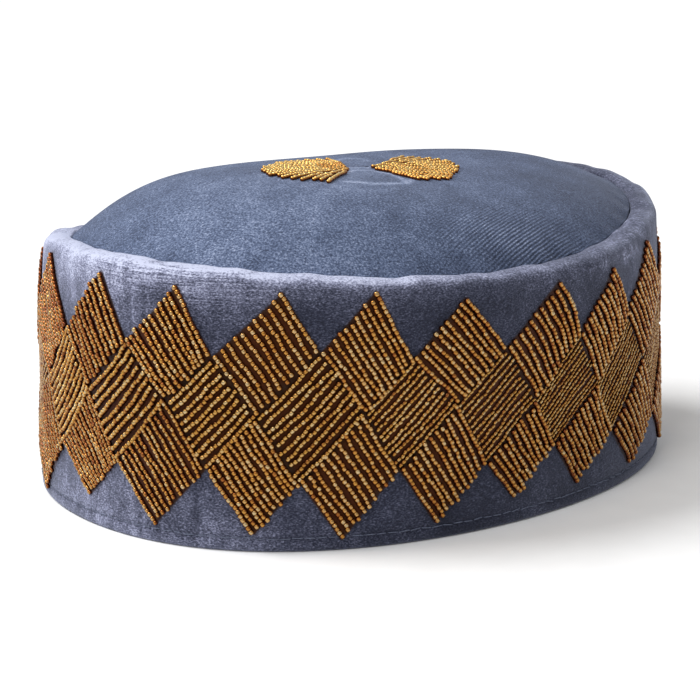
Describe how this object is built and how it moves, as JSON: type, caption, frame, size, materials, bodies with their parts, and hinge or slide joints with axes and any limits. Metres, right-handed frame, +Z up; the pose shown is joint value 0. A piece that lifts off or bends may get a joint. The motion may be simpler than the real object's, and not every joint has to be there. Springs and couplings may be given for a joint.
{
  "type": "beaded velvet cap",
  "caption": "Oval brimless velvet cap with a tall beaded side wall, a turned rim and a domed crown panel with beaded fans, open below for the head.",
  "frame": {"origin": "middle of the cap's outline at the plane of the hem, where the cap rests", "axes": "+Z up through the crown, X along the oval's long axis, Y across it"},
  "size_m": [0.2202, 0.164, 0.1038],
  "materials": {
    "velvet": "slate blue velvet, short soft pile with a pale sheen",
    "gold_beads": "opaque lustred gold glass seed beads, glossy"
  },
  "bodies": {
    "root": {"side_wall": "velvet", "crown": "velvet", "bead_lattice": "gold_beads", "bead_fan_wide": "gold_beads", "bead_fan_narrow": "gold_beads"}
  },
  "joints": []
}
